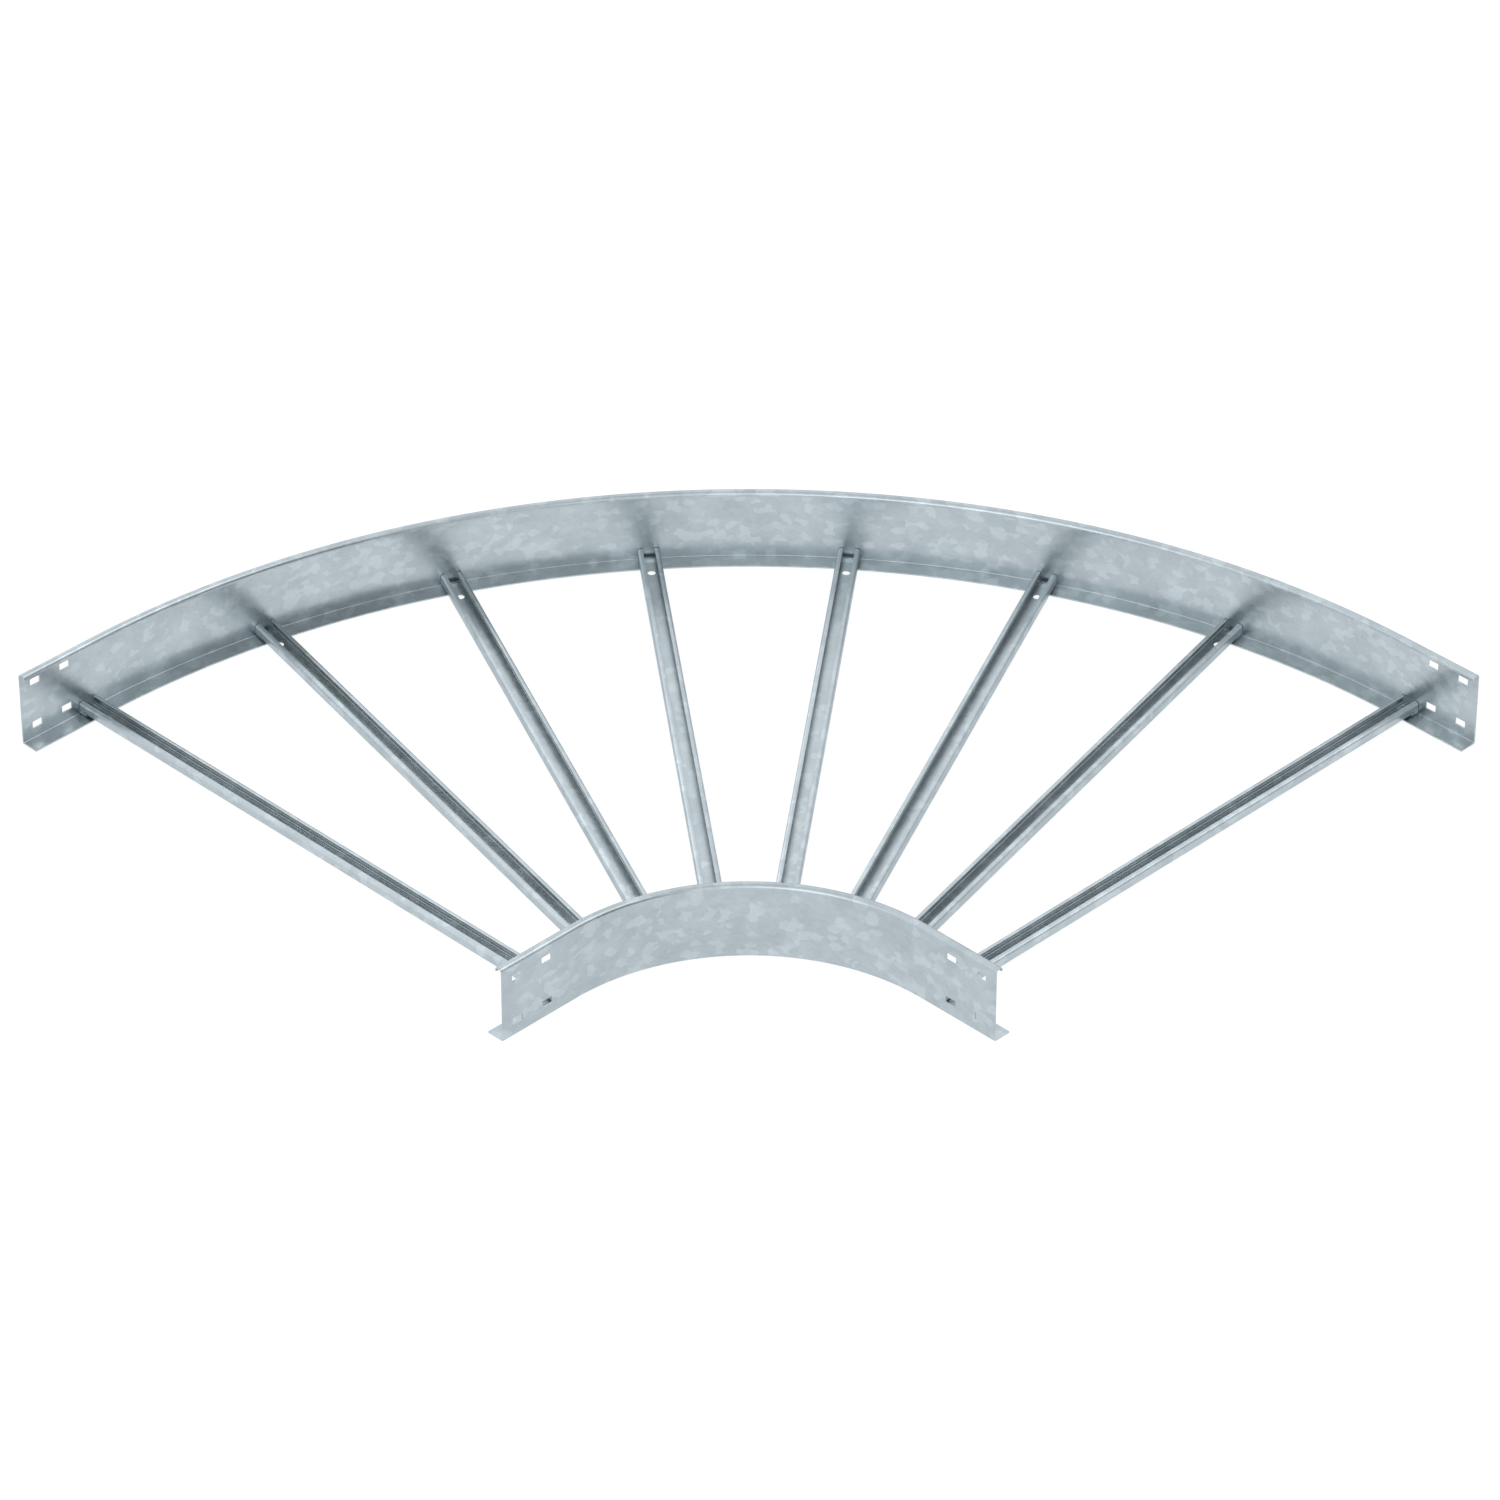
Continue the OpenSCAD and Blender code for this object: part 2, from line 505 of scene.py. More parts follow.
class ShaderBench:
    """A material's or world's node tree, with short ways to add and join nodes."""

    def __init__(self, tree: bpy.types.NodeTree) -> None:
        """Clears the tree."""
        self.tree = tree
        tree.nodes.clear()

    def add(
        self, kind: str, inputs: dict[str | int, object] | None = None, **settings: object
    ) -> bpy.types.Node:
        """Adds a node.

        Args:
            kind: Blender's node type.
            inputs: Values or output sockets, by the name or number of the input.
            settings: Properties of the node.

        Returns:
            The node.
        """
        node = self.tree.nodes.new(kind)
        for key, value in settings.items():
            setattr(node, key, value)
        for key, value in (inputs or {}).items():
            if isinstance(value, Socket):
                self.tree.links.new(value, node.inputs[key])
            else:
                node.inputs[key].default_value = value
        return node

    def math(self, operation: str, *terms: object) -> Socket:
        """Adds a sum of numbers or sockets and returns its result."""
        return self.add("ShaderNodeMath", dict(enumerate(terms)), operation=operation).outputs[0]

    def vector(self, operation: str, *terms: object) -> Socket:
        """Adds a sum of vectors or sockets and returns its result, which is a vector."""
        return self.add("ShaderNodeVectorMath", dict(enumerate(terms)), operation=operation).outputs[0]

    def dot(self, first: Socket, second: tuple[float, float, float]) -> Socket:
        """Adds the dot product of two vectors and returns it."""
        node = self.add("ShaderNodeVectorMath", {0: first, 1: second}, operation="DOT_PRODUCT")
        return node.outputs["Value"]

    def moved(self, place: Socket, by: Socket, share: float) -> Socket:
        """Shifts coordinates by a share of a colour that is centred on middle grey."""
        centred = self.vector("SUBTRACT", by, MIDDLE_GREY)
        return self.vector("MULTIPLY_ADD", centred, (share, share, share), place)

    def noise(self, place: Socket, grain: Grain) -> bpy.types.Node:
        """Adds a noise and returns its node."""
        settings = {"Vector": place, "Scale": grain.scale, "Detail": grain.detail}
        return self.add("ShaderNodeTexNoise", settings)

    def bumped(self, place: Socket, bumps: Unevenness, under: Socket | None = None) -> Socket:
        """Adds bumps, on top of others where they are given, and returns the normals."""
        height = self.noise(place, bumps.grain).outputs["Fac"]
        settings = {"Height": height, "Strength": bumps.strength, "Distance": bumps.depth}
        if under is not None:
            settings["Normal"] = under
        return self.add("ShaderNodeBump", settings).outputs["Normal"]

    def span(self, value: Socket, start: Span, to: Span = WHOLE) -> Socket:
        """Eases a value from one span to another, held at both ends, and returns the result."""
        settings = {"Value": value, "From Min": start[0], "From Max": start[1]}
        settings |= {"To Min": to[0], "To Max": to[1]}
        node = self.add("ShaderNodeMapRange", settings, interpolation_type="SMOOTHSTEP")
        return node.outputs["Result"]


@dataclass(frozen=True)
class GalvanisedFinish:
    """Zinc from the dip: a softly shining metal with pale flakes on a streaky, cloudy grey.

    Attributes:
        name: Name of the material.
        dull: Colour of the darkest zinc.
        bright: Colour of the palest flakes.
        flatten: How much lower than wide the flakes and clouds are.
        stretch: How much lower than wide the streaks are.
        flakes: Large flakes per metre.
        finer: How many times more small flakes than large ones there are in a metre.
        ragged: How far the flakes' borders wander, in metres.
        softness: How far the large flakes run into each other, from 0 to 1.
        pale: Span of the large flakes' random grey over which they turn pale.
        lighter: Span of a noise over which its clouds or streaks lighten the grey.
        shares: How much pale flakes, all flakes, small flakes, clouds and streaks lighten the grey.
        wander: Noise that the flakes' borders follow.
        clouds: Noise of the clouds.
        streaks: Noise of the streaks.
        edge: How much of a plain metal's shine is left where the light only grazes it.
        gloss: Roughness of the shiniest and of the dullest zinc.
        waves: The sheet's slow unevenness.
        pits: Its fine unevenness.
    """

    name: str = "galvanised_zinc"
    dull: Colour = (0.428, 0.467, 0.480, 1.0)
    bright: Colour = (0.622, 0.665, 0.678, 1.0)
    flatten: float = 1.35
    stretch: float = 3.5
    flakes: float = 72.0
    finer: float = 2.4
    ragged: float = 0.0065
    softness: float = 0.22
    pale: Span = (0.66, 0.84)
    lighter: Span = (0.3, 0.7)
    shares: tuple[float, float, float, float, float] = (0.24, 0.22, 0.18, 0.28, 0.06)
    wander: Grain = Grain(90.0)
    clouds: Grain = Grain(18.0, detail=4.0)
    streaks: Grain = Grain(60.0)
    edge: Colour = (0.72, 0.74, 0.76, 1.0)
    gloss: Span = (0.28, 0.33)
    waves: Unevenness = Unevenness(Grain(55.0), strength=0.05, depth=0.003)
    pits: Unevenness = Unevenness(Grain(420.0), strength=0.012, depth=0.0004)

    def flake_greys(self, bench: ShaderBench, flat: Socket) -> tuple[Socket, Socket]:
        """Gives a random grey to every large flake and one to every small flake."""
        torn = bench.moved(flat, bench.noise(flat, self.wander).outputs["Color"], 2 * self.ragged)
        soft = {"Vector": torn, "Scale": self.flakes, "Smoothness": self.softness}
        large = bench.add("ShaderNodeTexVoronoi", soft, feature="SMOOTH_F1")
        small = bench.add("ShaderNodeTexVoronoi", {"Vector": torn, "Scale": self.finer * self.flakes})
        large_grey = bench.add("ShaderNodeSeparateColor", {"Color": large.outputs["Color"]})
        small_grey = bench.add("ShaderNodeSeparateColor", {"Color": small.outputs["Color"]})
        return large_grey.outputs["Red"], small_grey.outputs["Green"]

    def colour(
        self, bench: ShaderBench, place: Socket, flat: Socket, large: Socket, small: Socket
    ) -> Socket:
        """Mixes the zinc's colour, lightened or darkened by each face's painted light or shade.

        Args:
            bench: The material's nodes.
            place: The piece's coordinates.
            flat: Coordinates, flattened for the flakes and clouds.
            large: Grey of the large flakes.
            small: Grey of the small flakes.

        Returns:
            The colour.
        """
        drawn = bench.vector("MULTIPLY", place, (1.0, 1.0, self.stretch))
        cloud = bench.noise(flat, self.clouds).outputs["Fac"]
        streak = bench.noise(drawn, self.streaks).outputs["Fac"]
        lighter = [bench.span(noise, self.lighter) for noise in (cloud, streak)]
        layers = [bench.span(large, self.pale), large, small, *lighter]
        grey: Socket | float = 0.0
        for layer, share in zip(layers, self.shares):
            grey = bench.math("MULTIPLY_ADD", layer, share, grey)
        mix = {"Factor": grey, "A": self.dull, "B": self.bright}
        tint = bench.add("ShaderNodeMix", mix, data_type="RGBA").outputs["Result"]
        # Each face's painted light or shade scales the mixed zinc colour up or down
        shade = bench.add("ShaderNodeAttribute", attribute_name=PAINTED_LIGHT_AND_SHADE).outputs["Fac"]
        scale = {0: tint, "Scale": bench.math("ADD", shade, 1.0)}
        return bench.add("ShaderNodeVectorMath", scale, operation="SCALE").outputs[0]

    def material(self) -> bpy.types.Material:
        """Builds the material on the pieces' own coordinates."""
        material = bpy.data.materials.new(self.name)
        material.use_nodes = True
        bench = ShaderBench(material.node_tree)
        place = bench.add("ShaderNodeTexCoord").outputs["Object"]
        flat = bench.vector("MULTIPLY", place, (1.0, 1.0, self.flatten))
        large, small = self.flake_greys(bench, flat)
        shader = bench.add(
            "ShaderNodeBsdfPrincipled",
            {
                "Base Color": self.colour(bench, place, flat, large, small),
                "Metallic": 1.0,
                "Specular Tint": self.edge,
                "Roughness": bench.span(small, WHOLE, self.gloss),
                "Normal": bench.bumped(place, self.pits, bench.bumped(flat, self.waves)),
            },
        )
        bench.add("ShaderNodeOutputMaterial", {"Surface": shader.outputs["BSDF"]})
        return material


RAIL_FINISH = GalvanisedFinish()
# The rungs' zinc is rougher than the rails', and its colours are painted paler, as painted light that lifts
# their dim channels
RUNG_ZINC_PAINTED_PALER = GalvanisedFinish(
    name="galvanised_zinc_rungs_painted_paler",
    dull=(0.465, 0.506, 0.520, 1.0),
    bright=(0.664, 0.709, 0.722, 1.0),
    gloss=(0.34, 0.40),
)


class SheetPiece:
    """A piece of dipped sheet that stands in place of one CAD node.

    Attributes:
        node: Name of the CAD node.
        finish: Material of the piece.
        edge: Rim of its sheet.
    """

    node: str
    finish: bpy.types.Material
    edge: SheetEdge

    def skin(self) -> SheetSkin:
        """Works out the piece's sheet."""
        raise NotImplementedError

    def shade(self, piece: bpy.types.Object, skin: SheetSkin) -> None:
        """Leaves every face of the piece in the zinc's own shade."""

    def dress(self, piece: bpy.types.Object) -> None:
        """Gives the piece its finish and its soft rims."""
        piece.data.materials.append(self.finish)
        self.edge.soften(piece)

    def build(self) -> bpy.types.Object:
        """Makes the piece, dresses it and sets it in place of its CAD node."""
        name = f"dressed_{self.node}"
        skin = self.skin()
        piece = show(skin.mesh(name), name)
        # Paints light and shade onto the faces' zinc, on pieces that have any
        self.shade(piece, skin)
        self.dress(piece)
        fit_to_frame(piece, self.node)
        return piece


@dataclass(frozen=True)
class JointHoles:
    """The four rectangular joint holes at each end of a rail."""

    length: float = 0.016
    height: float = 0.010
    corner: float = 0.001
    end_distance: float = 0.025
    spacing: float = 0.050
    row_spacing: float = 0.066
    margin: float = 0.0015
    steps: int = 4

    @property
    def outline(self) -> HoleOutline:
        """Gives the outline of one hole."""
        return HoleOutline((self.length / 2 - self.corner, self.height / 2 - self.corner), self.corner)

    @property
    def distances(self) -> Span:
        """Gives the distances of the two columns of holes from the rail's end."""
        return self.end_distance, self.end_distance + self.spacing

    def levels(self, rail_height: float) -> Span:
        """Gives the heights of the two rows of holes."""
        return (rail_height - self.row_spacing) / 2, (rail_height + self.row_spacing) / 2

    def marks(self, axis: int) -> Array:
        """Gives the grid lines of a hole's window along the rail (0) or up the web (1)."""
        return self.outline.marks(axis, self.margin, self.steps)


@dataclass
class SideRail(SheetPiece):
    """One side rail: a web, a bottom flange, and a top flange with a lip turned down."""

    side: RailSide
    path: BendPath
    finish: bpy.types.Material
    edge: SheetEdge = field(default_factory=SheetEdge)
    height: float = 0.109
    bottom_fold: float = 0.001
    top_fold: float = 0.003
    bottom_flange: float = 0.027
    top_flange: float = 0.012
    top_lip: float = 0.0065
    holes: JointHoles = field(default_factory=JointHoles)

    @property
    def node(self) -> str:
        """Gives the name of the rail's CAD node."""
        return f"{self.side.name.lower()}_rail"

    def section(self) -> SheetSection:
        """Folds the rail's section, with the depth from the web's back first and the height second."""
        sheet = self.path.rail_sheet
        half = sheet / 2
        top = self.height - half
        lip, lip_end = self.top_flange - half, self.height - self.top_lip
        corners = np.array(
            [[self.bottom_flange, half], [half, half], [half, top], [lip, top], [lip, lip_end]]
        )
        web_leg = 1
        marks = self.holes.marks(1) - half
        stops = np.concatenate([level + marks for level in self.holes.levels(self.height)])
        folds = self.bottom_fold, self.top_fold, self.top_fold
        return SheetSection.folded(corners, folds, sheet, {web_leg: stops})

    def radius(self, depth: Numbers) -> Numbers:
        """Turns depths from the web's back into distances from the bend's centre."""
        back = self.path.inner_radius if self.side is RailSide.INNER else self.path.outer_radius
        return back + self.side.value * depth

    def skin(self) -> SheetSkin:
        """Carries the section round the bend and cuts the joint holes.

        Returns:
            The rail's sheet, its stations running from end A to end B.
        """
        section = self.section()
        along = self.holes.marks(0)
        stops = np.concatenate([distance + along for distance in self.holes.distances])
        turn, past = self.path.stations(stops)
        grids = [
            self.path.place(turn[:, None], past[:, None], self.radius(face[:, 0]), face[:, 1])
            for face in section.faces()
        ]
        skin = SheetSkin(*grids)
        for end in RunEnd:
            for distance in self.holes.distances:
                for level in self.holes.levels(self.height):
                    self.cut_hole(skin, section, past, end, (distance, level))
        return skin

    def cut_hole(
        self, skin: SheetSkin, section: SheetSection, past: Array, end: RunEnd, centre: Span
    ) -> None:
        """Cuts one joint hole into the web.

        Args:
            skin: The rail's sheet.
            section: The rail's section.
            past: Straight distance of each station, below zero at end A and above it at end B.
            end: The rail's end.
            centre: Distance of the hole's centre from that end, and its height.
        """
        distance, level = centre
        way = -1.0 if end is RunEnd.A else 1.0
        middle = way * (self.path.straight_run - distance)
        along, up = self.holes.marks(0), self.holes.marks(1)
        rows = run_of(np.abs(past - middle) < along[-1] + WELD_STEP)
        columns = section.columns(1, level + up[0], level + up[-1])
        loop = self.holes.outline.edge(past[rows], section.points[columns, 1], (middle, level))
        loops = [
            self.path.place(end.value, loop[:, 0], self.radius(face[columns.start, 0]), loop[:, 1])
            for face in section.faces()
        ]
        skin.pierce(rows, columns, *loops)


@dataclass
class Rung(SheetPiece):
    """One C-section rung, open at the top, between the webs of the two rails.

    Attributes:
        number: Number of the rung, from 1 at end A.
        path: The plan of the ladder.
        base: Height of the rung's underside above the floor.
        width: Width of its section.
        height: Height of its section.
        sheet: Sheet thickness.
        fold: Inside radius of its folds.
        slot: Width of the open slot along its top.
        fixing_hole: Diameter of the fixing holes.
        fixing_inset: Distance from a web to the nearest hole's centre.
        window_margin: Distance from a hole's edge to its window's rim.
        window_steps: Grid steps from a hole's centre to its window's rim.
        middle_steps: Grid steps between the two holes' windows.
        end_notch: Length of the notch that keeps the floor clear of the web.
        end_gap: Gap between the web and the rung above its bottom folds.
        end_strip: Length of the strip of floor beside each notch that takes painted light.
        rim_painted_shade: Painted shade on the cut edges.
        channel_painted_light: Painted light inside the channel.
        corner_painted_shade: Painted shade in the bottom folds inside the channel.
        strip_painted_light: Painted light on the strips beside the notches.
    """

    number: int
    path: BendPath
    finish: bpy.types.Material
    edge: SheetEdge = field(default_factory=SheetEdge)
    base: float = 0.004
    width: float = 0.030
    height: float = 0.015
    sheet: float = 0.0015
    fold: float = 0.0025
    slot: float = 0.016
    fixing_hole: float = 0.011
    fixing_inset: float = 0.040
    window_margin: float = 0.0025
    window_steps: int = 4
    middle_steps: int = 8
    end_notch: float = 0.0075
    end_gap: float = 0.00075
    end_strip: float = 0.008
    rim_painted_shade: float = -0.45
    channel_painted_light: float = 0.06
    corner_painted_shade: float = -0.20
    strip_painted_light: float = 0.40

    @property
    def node(self) -> str:
        """Gives the name of the rung's CAD node."""
        return f"rung_{self.number}"

    @property
    def turn(self) -> float:
        """Gives the rung's place round the bend."""
        return (self.number - 1) / (RUNGS - 1) * RunEnd.B.value

    @property
    def offset(self) -> float:
        """Gives how far an end rung stands out on the straight run."""
        if self.number == 1:
            return -self.width / 2
        if self.number == RUNGS:
            return self.width / 2
        return 0.0

    @property
    def outline(self) -> HoleOutline:
        """Gives the outline of a fixing hole."""
        return HoleOutline((0.0, 0.0), self.fixing_hole / 2)

    @property
    def window(self) -> Array:
        """Gives the grid lines of the square window round a fixing hole, from the hole's centre."""
        return self.outline.marks(0, self.window_margin, self.window_steps)

    @property
    def hole_places(self) -> Span:
        """Gives the distances of the two fixing holes from the bend's centre."""
        return self.path.inner_face + self.fixing_inset, self.path.outer_face - self.fixing_inset

    def section(self) -> SheetSection:
        """Folds the rung's section, with the distance across first and the height second."""
        half = self.sheet / 2
        side = self.width / 2 - half
        top = self.height - half
        mouth = self.slot / 2
        corners = np.array(
            [[mouth, top], [side, top], [side, half], [-side, half], [-side, top], [-mouth, top]]
        )
        floor_leg = 2
        folds = [self.fold] * (len(corners) - 2)
        return SheetSection.folded(corners, folds, self.sheet, {floor_leg: side + self.window})

    def floor(self, section: SheetSection) -> slice:
        """Finds the samples of the section's flat floor."""
        flat = self.width / 2 - self.sheet - self.fold
        return section.columns(0, -flat, flat)

    def reach(self, face: float, across: Array) -> Array:
        """Gives where a web's face is met, which for a curved web is sqrt(face^2 - across^2)."""
        if self.offset:
            return np.full_like(across, face)
        return np.sqrt(face**2 - across**2)

    def stations(self, across: Array, height: Array) -> Array:
        """Lists the distances from the bend's centre at which the section stands.

        Args:
            across: Distances across the rung, one for each sample.
            height: Heights of the samples above the rung's underside.

        Returns:
            Distances, shape (stations, samples), the ends following the webs, with a gap
            above the bottom folds.
        """
        gap = np.where(height > self.sheet + self.fold + WELD_STEP, self.end_gap, 0.0)
        start = self.reach(self.path.inner_face, across) + gap
        end = self.reach(self.path.outer_face, across) - gap
        low, high = (place + self.window for place in self.hole_places)
        between = np.linspace(low[-1], high[0], self.middle_steps + 1)[1:-1]
        # Stations that bound the strip of floor beside each notch, which takes painted light
        ends = np.array([self.end_notch, self.end_notch + self.end_strip])
        first, last = self.path.inner_face + ends, self.path.outer_face - ends[::-1]
        fixed = np.concatenate([first, low, between, high, last])
        middle = np.broadcast_to(fixed[:, None], (len(fixed), len(across)))
        return np.concatenate([start[None], middle, end[None]])

    def skin(self) -> SheetSkin:
        """Carries the section from web to web and cuts the fixing holes and the end notches.

        Returns:
            The rung's sheet, its stations running outwards.
        """
        section = self.section()
        grids = []
        for face in section.faces():
            across, height = face.T
            reach = self.stations(across, section.points[:, 1])
            grids.append(self.path.place(self.turn, self.offset + across, reach, self.base + height))
        skin = SheetSkin(*grids)
        floor = self.floor(section)
        last = skin.front.shape[0]
        skin.notch(slice(0, 2), floor)
        skin.notch(slice(last - 2, last), floor)
        reach = self.stations(*section.points.T)[:, floor.start]
        for centre in self.hole_places:
            self.cut_hole(skin, section, reach, centre)
        return skin

    def cut_hole(self, skin: SheetSkin, section: SheetSection, reach: Array, centre: float) -> None:
        """Cuts one fixing hole into the rung's floor.

        Args:
            skin: The rung's sheet.
            section: The rung's section.
            reach: Distance of each station from the bend's centre, on the floor.
            centre: Distance of the hole from the bend's centre.
        """
        window = self.window
        rows = run_of(np.abs(reach - centre) < window[-1] + WELD_STEP)
        columns = section.columns(0, window[0], window[-1])
        loop = self.outline.edge(reach[rows], section.points[columns, 0], (centre, 0.0))
        across = self.offset + loop[:, 1]
        loops = [
            self.path.place(self.turn, across, loop[:, 0], self.base + face[columns.start, 1])
            for face in section.faces()
        ]
        skin.pierce(rows, columns, *loops)

    def shade(self, piece: bpy.types.Object, skin: SheetSkin) -> None:
        """Paints shade on the rung's cut edges and in the corners of its channel, and paints light on the
        rest inside.

        The strip of floor beside each end notch gets the most painted light.

        Args:
            piece: The rung.
            skin: Its sheet, the back side inside the channel.
        """
        section = self.section()
        # Painted shade in the channel's bottom folds and painted light on the rest of its inside
        turning = np.abs(np.diff(section.normals, axis=0)).max(axis=1) > WELD_STEP
        low = section.points[:-1, 1] < self.height / 2
        across = np.where(turning & low, self.corner_painted_shade, self.channel_painted_light)
        inside = np.tile(across, (skin.drawn.shape[0], 1))
        last = skin.front.shape[0]
        # Painted light on the strip of floor beside each end notch
        for rows in (slice(1, 3), slice(last - 3, last - 1)):
            inside[skin.cells(rows, self.floor(section))] = self.strip_painted_light
        shade = piece.data.attributes.new(PAINTED_LIGHT_AND_SHADE, "FLOAT", "FACE")
        shade.data.foreach_set("value", skin.shades(self.rim_painted_shade, inside, self.channel_painted_light))


@dataclass(frozen=True)
class SoftPatch:
    """A round patch of the surround that is brighter or darker than the rest, with a soft rim.

    Attributes:
        bearing: Angle in degrees to the right of where the camera looks.
        rise: Angle in degrees above the floor.
        inner: Angle in degrees from the middle out to which the patch is full.
        outer: Angle in degrees at which it has faded out.
        gain: What the patch adds to the surround's strength.
    """

    bearing: float
    rise: float
    inner: float
    outer: float
    gain: float

    @property
    def way(self) -> tuple[float, float, float]:
        """Gives the direction of the patch's middle."""
        turn = math.radians(LOOKING - self.bearing)
        rise = math.radians(self.rise)
        return math.cos(rise) * math.cos(turn), math.cos(rise) * math.sin(turn), math.sin(rise)

    def added(self, bench: ShaderBench, way: Socket, glow: Socket) -> Socket:
        """Adds the patch to a surround's strength and returns the sum."""
        rim = math.cos(math.radians(self.outer)), math.cos(math.radians(self.inner))
        share = bench.span(bench.dot(way, self.way), rim)
        return bench.math("MULTIPLY_ADD", share, self.gain, glow)


@dataclass
class Studio:
    """A pale floor, a white surround that is brighter on the left, and the camera.

    Attributes:
        floor_size: Side of the square floor.
        left_glow: Strength of the surround on the photograph's left.
        middle_glow: Its strength overhead, in front and behind.
        right_glow: Its strength on the right.
        patches: Brighter and darker patches of the surround.
        tint: Cool colour of the light.
        floor_paint: Colour of the floor in its shadows.
        floor_glow: Strength of the floor's even white.
        floor_share: How much of the floor's look is even white, the rest showing shadows.
        focal_length: The lens, in millimetres.
        sensor: Width of the film, in millimetres.
        picture_width: Width of the photograph, in pixels.
        shift: How far the picture is shifted sideways, in those pixels.
        farthest: Distance from the camera up to which things are drawn.
        camera_place: Where the camera stands.
        camera_pitch: How far the camera looks down.
    """

    floor_size: float = 60.0
    left_glow: float = 1.15
    middle_glow: float = 1.0
    right_glow: float = 0.55
    patches: tuple[SoftPatch, ...] = (
        SoftPatch(bearing=0.0, rise=90.0, inner=8.0, outer=32.0, gain=-0.20),
        SoftPatch(bearing=-20.0, rise=36.0, inner=6.0, outer=18.0, gain=0.40),
        SoftPatch(bearing=22.0, rise=36.0, inner=6.0, outer=18.0, gain=0.30),
        SoftPatch(bearing=70.0, rise=57.0, inner=5.0, outer=17.0, gain=1.75),
        SoftPatch(bearing=100.0, rise=36.0, inner=6.0, outer=14.0, gain=0.70),
        SoftPatch(bearing=126.0, rise=15.0, inner=9.0, outer=26.0, gain=-0.48),
        SoftPatch(bearing=168.0, rise=20.0, inner=10.0, outer=34.0, gain=0.20),
        SoftPatch(bearing=206.0, rise=5.0, inner=6.0, outer=34.0, gain=1.10),
        SoftPatch(bearing=-36.0, rise=2.0, inner=10.0, outer=30.0, gain=1.00),
        SoftPatch(bearing=32.0, rise=0.0, inner=6.0, outer=22.0, gain=0.50),
    )
    tint: Colour = (0.945, 1.0, 1.04, 1.0)
    floor_paint: Colour = (0.95, 0.95, 0.95, 1.0)
    floor_glow: float = 1.07
    floor_share: float = 0.85
    focal_length: float = 179.206
    sensor: float = 36.0
    picture_width: float = 1500.0
    shift: float = 1.16
    farthest: float = 200.0
    camera_place: tuple[float, float, float] = (-5.60733, -5.60733, 5.52443)
    camera_pitch: float = math.radians(34.91301)

    @staticmethod
    def seen(bench: ShaderBench) -> Socket:
        """Gives 1 for rays from the camera, from gloss and through clear material."""
        path = bench.add("ShaderNodeLightPath")
        gloss = bench.math("MAXIMUM", path.outputs["Is Camera Ray"], path.outputs["Is Glossy Ray"])
        return bench.math("MAXIMUM", gloss, path.outputs["Is Transmission Ray"])

    def cast(self, bench: ShaderBench) -> Socket:
        """Gives plain white to the camera and the light's cool colour to every other ray."""
        camera = bench.add("ShaderNodeLightPath").outputs["Is Camera Ray"]
        mixed = bench.add("ShaderNodeMix", {"Factor": camera, "A": self.tint, "B": WHITE}, data_type="RGBA")
        return mixed.outputs["Result"]

    def lay_floor(self) -> bpy.types.Object:
        """Lays the floor, white where it is seen and dimmed only by the ladder's shadow."""
        half = self.floor_size / 2
        corners = [(-half, -half, 0.0), (half, -half, 0.0), (half, half, 0.0), (-half, half, 0.0)]
        mesh = bpy.data.meshes.new("studio_floor")
        mesh.from_pydata(corners, [], [(0, 1, 2, 3)])
        floor = show(mesh, "studio_floor")
        material = bpy.data.materials.new("pale_floor")
        material.use_nodes = True
        bench = ShaderBench(material.node_tree)
        paint = bench.add("ShaderNodeBsdfDiffuse", {"Color": self.floor_paint})
        glow = bench.add("ShaderNodeEmission", {"Color": self.cast(bench), "Strength": self.floor_glow})
        share = bench.math("MULTIPLY", self.seen(bench), self.floor_share)
        mixed = bench.add("ShaderNodeMixShader", {0: share, 1: paint.outputs[0], 2: glow.outputs[0]})
        bench.add("ShaderNodeOutputMaterial", {"Surface": mixed.outputs[0]})
        mesh.materials.append(material)
        return floor

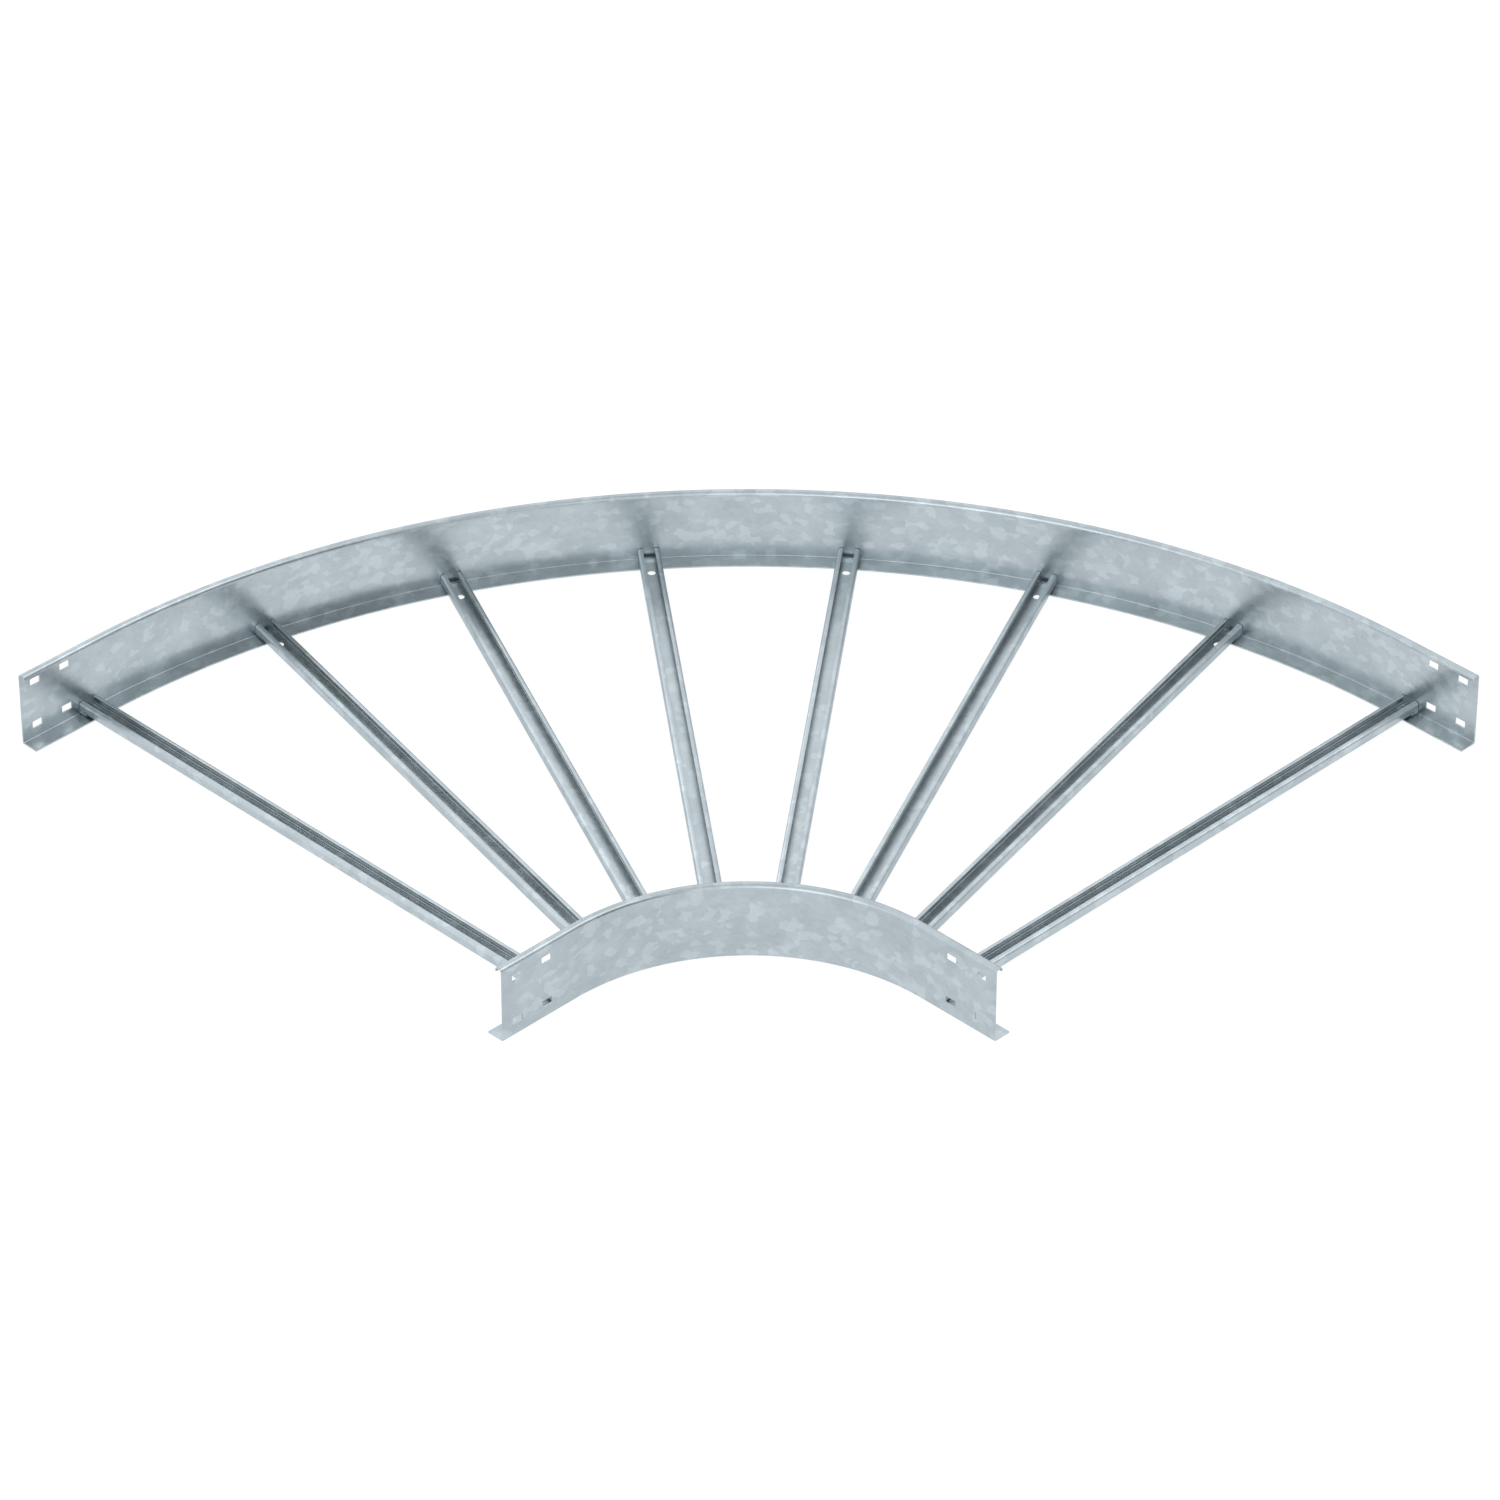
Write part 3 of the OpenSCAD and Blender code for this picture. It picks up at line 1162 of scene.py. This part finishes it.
    def light_surround(self) -> None:
        """Sets a white world that falls off from left to right, plain white to the camera.

        Its strength is middle - slope * t - bow * t^2, where t is the part of the direction
        that points to the photograph's right, with the soft patches added.
        """
        world = bpy.data.worlds.new("white_studio")
        bpy.context.scene.world = world
        world.use_nodes = True
        bench = ShaderBench(world.node_tree)
        way = bench.add("ShaderNodeTexCoord").outputs["Generated"]
        across = bench.dot(way, (DIAGONAL, -DIAGONAL, 0.0))
        slope = (self.left_glow - self.right_glow) / 2
        bow = self.middle_glow - (self.left_glow + self.right_glow) / 2
        lean = bench.math("MULTIPLY_ADD", across, -bow, -slope)
        glow = bench.math("MULTIPLY_ADD", across, lean, self.middle_glow)
        for patch in self.patches:
            glow = patch.added(bench, way, glow)
        camera = bench.add("ShaderNodeLightPath").outputs["Is Camera Ray"]
        strength = bench.add("ShaderNodeMix", {"Factor": camera, "A": glow, "B": 1.0}, data_type="FLOAT")
        sky = bench.add(
            "ShaderNodeBackground", {"Color": self.cast(bench), "Strength": strength.outputs["Result"]}
        )
        bench.add("ShaderNodeOutputWorld", {"Surface": sky.outputs[0]})

    def set_camera(self) -> bpy.types.Object:
        """Sets the camera at the photograph's place and angle."""
        lens = bpy.data.cameras.new("camera")
        lens.sensor_width = self.sensor
        lens.lens = self.focal_length
        lens.shift_x = self.shift / self.picture_width
        lens.clip_end = self.farthest
        camera = bpy.data.objects.new("camera", lens)
        camera.location = self.camera_place
        level = math.cos(self.camera_pitch) * DIAGONAL
        view = Vector((level, level, -math.sin(self.camera_pitch)))
        camera.rotation_mode = "QUATERNION"
        camera.rotation_quaternion = view.to_track_quat("-Z", "Y")
        bpy.context.scene.collection.objects.link(camera)
        bpy.context.scene.camera = camera
        return camera

    def set_up(self) -> None:
        """Lays out the whole studio."""
        self.lay_floor()
        self.light_surround()
        self.set_camera()
        bpy.context.scene.view_settings.view_transform = "Standard"


def build_ladder() -> list[bpy.types.Object]:
    """Builds and dresses the rails and the rungs.

    Returns:
        The pieces, rails first.
    """
    path = BendPath()
    rail_zinc, rung_zinc = RAIL_FINISH.material(), RUNG_ZINC_PAINTED_PALER.material()
    makers: list[SheetPiece] = [SideRail(side, path, rail_zinc) for side in RailSide]
    makers += [Rung(number, path, rung_zinc) for number in range(1, RUNGS + 1)]
    return [maker.build() for maker in makers]


def main() -> None:
    """Builds the ladder and the studio."""
    logging.basicConfig(level=logging.INFO, format="%(name)s: %(message)s")
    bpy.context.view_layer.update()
    for piece in build_ladder():
        extent = np.ptp(np.array(piece.bound_box), axis=0)
        spans = " x ".join(f"{span * MILLIMETRES:.1f}" for span in extent)
        LOG.info("%s: %d faces, %s mm", piece.name, len(piece.data.polygons), spans)
    Studio().set_up()


if __name__ == "__main__":
    main()
